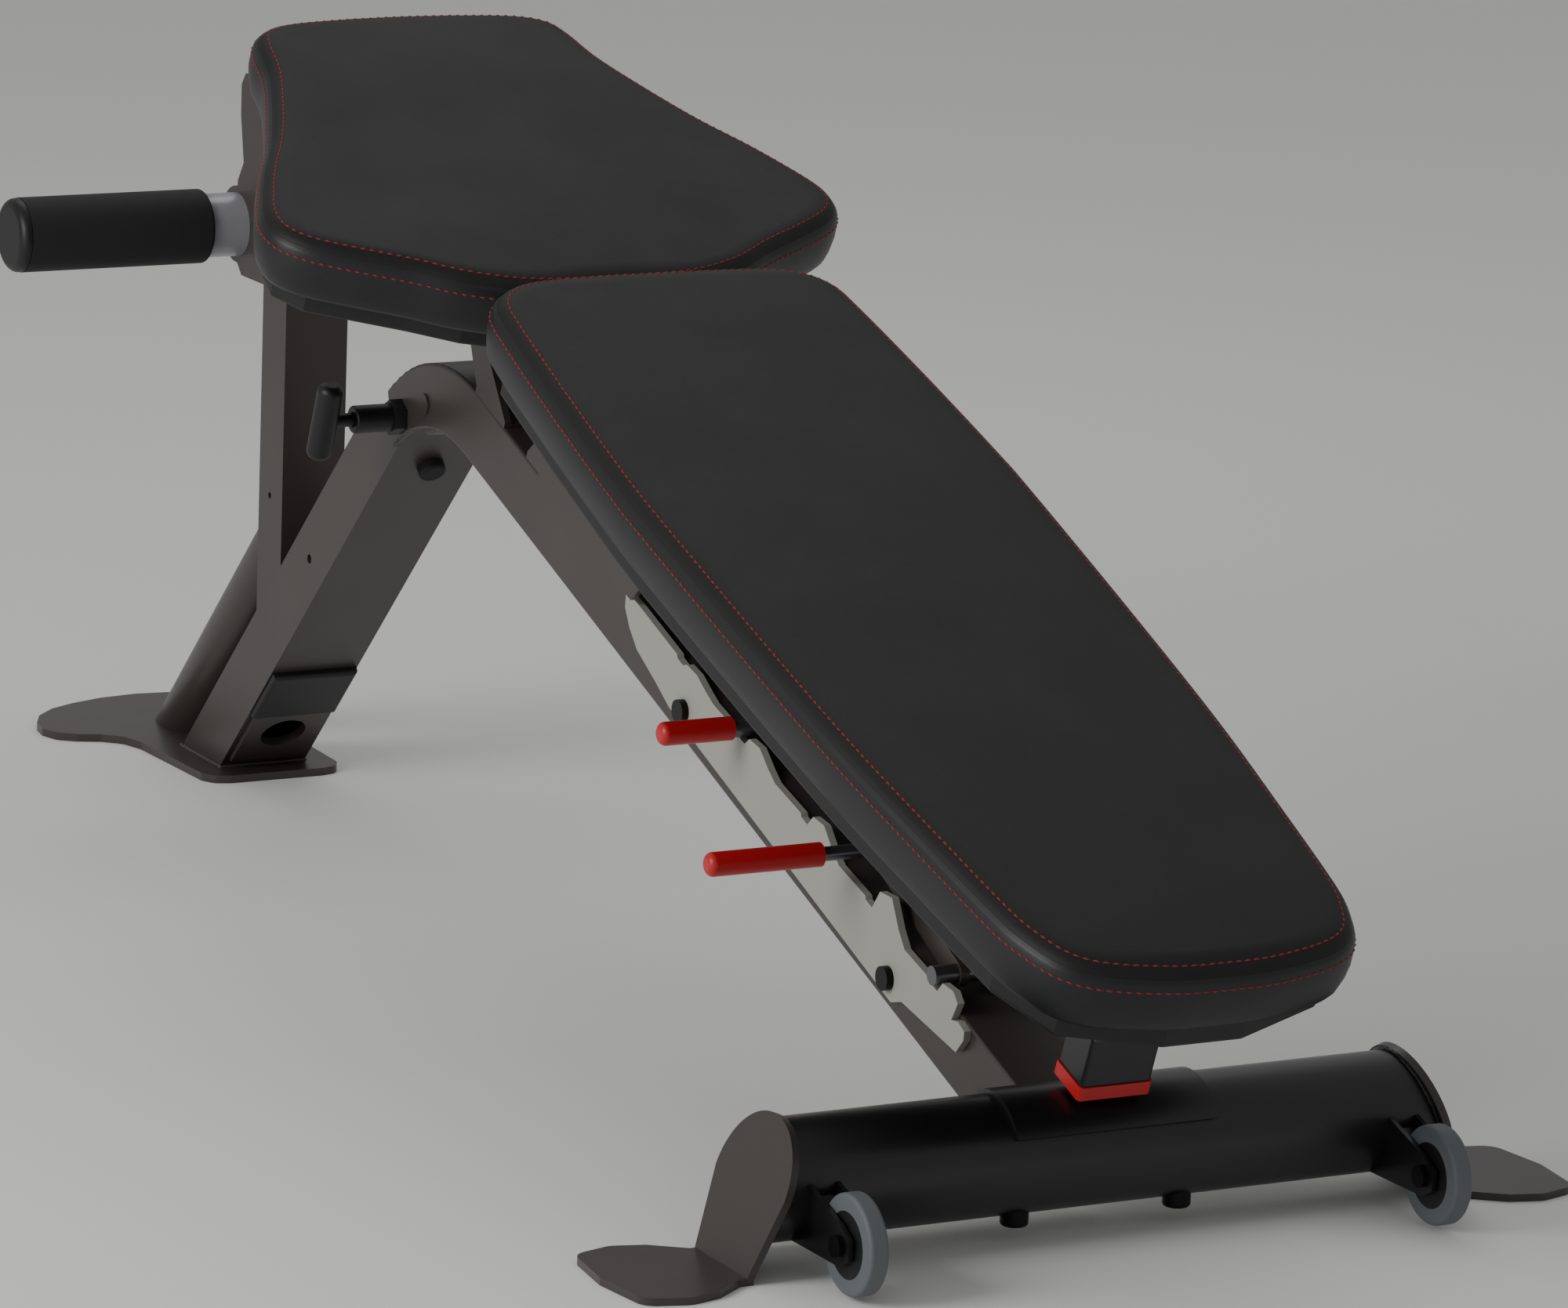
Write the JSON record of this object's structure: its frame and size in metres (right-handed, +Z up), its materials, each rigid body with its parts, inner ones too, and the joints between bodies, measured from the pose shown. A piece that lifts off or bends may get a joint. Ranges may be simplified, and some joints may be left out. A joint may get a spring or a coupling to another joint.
{
  "type": "decline sit up bench",
  "caption": "Folding gym bench on a sloping box beam, with a tilting back pad and seat set by ladder rods, foam ankle rollers and transport wheels.",
  "frame": {"origin": "centre of the bounding box, on the floor", "axes": "+Y from the head end to the front foot, +Z up, X across"},
  "size_m": [0.6736, 1.6595, 0.6036],
  "materials": {
    "frame_paint": "satin powder coat",
    "tube_paint": "satin powder coat",
    "ladder_steel": "matte",
    "black_fastener": "satin",
    "black_plastic": "matte",
    "wheel_tread": "matte",
    "black_rubber": "matte",
    "silver_tube": "satin",
    "foam": "matte",
    "shroud_plastic": "matte",
    "vinyl": "soft grain",
    "red_rubber": "satin",
    "steel_rod": "satin"
  },
  "bodies": {
    "base": {"rear_cross_tube": "tube_paint", "left_end_foot": "frame_paint", "right_end_foot": "frame_paint", "main_beam": "frame_paint", "beam_saddle": "tube_paint", "left_tube_bolt": "black_fastener", "right_tube_bolt": "black_fastener", "left_ladder_plate": "ladder_steel", "right_ladder_plate": "ladder_steel", "left_ladder_bolts": "black_fastener", "right_ladder_bolts": "black_fastener", "back_hinge_bracket": "frame_paint", "seat_hinge_bracket": "frame_paint", "leg_hinge_pin": "frame_paint", "pop_pin_housing": "black_plastic", "left_wheel_bracket": "frame_paint", "right_wheel_bracket": "frame_paint", "left_wheel_axle": "black_fastener", "right_wheel_axle": "black_fastener"},
    "left_wheel": {"left_wheel_hub": "black_plastic", "left_wheel_tyre": "wheel_tread"},
    "right_wheel": {"right_wheel_hub": "black_plastic", "right_wheel_tyre": "wheel_tread"},
    "pop_pin": {"pop_pin": "black_plastic"},
    "leg": {"front_leg": "frame_paint", "leg_bumper": "black_rubber", "docking_plate": "frame_paint", "docking_cap": "black_plastic", "front_foot_plate": "frame_paint", "brace_tube": "frame_paint", "upright_post": "frame_paint", "roller_carriage": "frame_paint", "roller_tube": "silver_tube", "left_roller_cap": "black_plastic", "right_roller_cap": "black_plastic"},
    "left_foam": {"left_foam_roller": "foam"},
    "right_foam": {"right_foam_roller": "foam"},
    "back": {"back_frame": "frame_paint", "back_hinge_pin": "steel_rod", "strut_hinge_pin": "steel_rod", "back_shroud": "shroud_plastic", "back_cushion": "vinyl", "end_bracket": "tube_paint", "end_bracket_edge": "red_rubber"},
    "back_strut": {"back_strut": "frame_paint", "lock_rod": "steel_rod", "pull_rod": "steel_rod", "pull_rod_grip": "red_rubber"},
    "seat": {"seat_frame": "frame_paint", "seat_hinge_pin": "steel_rod", "lever_hinge_pin": "steel_rod", "seat_shroud": "shroud_plastic", "seat_cushion": "vinyl"},
    "seat_strut": {"seat_strut": "frame_paint", "seat_rod": "steel_rod", "seat_rod_grip": "red_rubber"}
  },
  "joints": [
    {"name": "left_wheel_spin", "type": "hinge", "parent": "base", "child": "left_wheel", "pos_m": [-0.206, -0.75425, 0.0345], "axis": [1, 0, 0], "continuous": true},
    {"name": "right_wheel_spin", "type": "hinge", "parent": "base", "child": "right_wheel", "pos_m": [0.206, -0.75425, 0.0345], "axis": [1, 0, 0], "continuous": true},
    {"name": "pop_pin_slide", "type": "slide", "parent": "base", "child": "pop_pin", "axis": [-1, 0, 0], "range_m": [0, 0.01]},
    {"name": "leg_fold", "type": "hinge", "parent": "base", "child": "leg", "pos_m": [0, 0.23375, 0.352], "axis": [-1, 0, 0], "range_deg": [0, 95]},
    {"name": "left_foam_spin", "type": "hinge", "parent": "leg", "child": "left_foam", "pos_m": [-0.13, 0.58775, 0.422], "axis": [1, 0, 0], "continuous": true},
    {"name": "right_foam_spin", "type": "hinge", "parent": "leg", "child": "right_foam", "pos_m": [0.13, 0.58775, 0.422], "axis": [1, 0, 0], "continuous": true},
    {"name": "back_tilt", "type": "hinge", "parent": "base", "child": "back", "pos_m": [0, 0.00229, 0.42795], "axis": [-1, 0, 0], "range_deg": [0, 45]},
    {"name": "back_strut_swing", "type": "hinge", "parent": "back", "child": "back_strut", "pos_m": [0, -0.20725, 0.29711], "axis": [1, 0, 0], "range_deg": [0, 71]},
    {"name": "seat_tilt", "type": "hinge", "parent": "base", "child": "seat", "pos_m": [0, 0.14406, 0.43868], "axis": [-1, 0, 0], "range_deg": [0, 20]},
    {"name": "seat_strut_swing", "type": "hinge", "parent": "seat", "child": "seat_strut", "pos_m": [0, 0.20561, 0.41835], "axis": [1, 0, 0], "range_deg": [0, 17.5]}
  ],
  "couplings": [
    {"joint": "back_strut_swing", "follows": "back_tilt", "ratio": 1.56},
    {"joint": "seat_strut_swing", "follows": "seat_tilt", "ratio": 0.854}
  ]
}
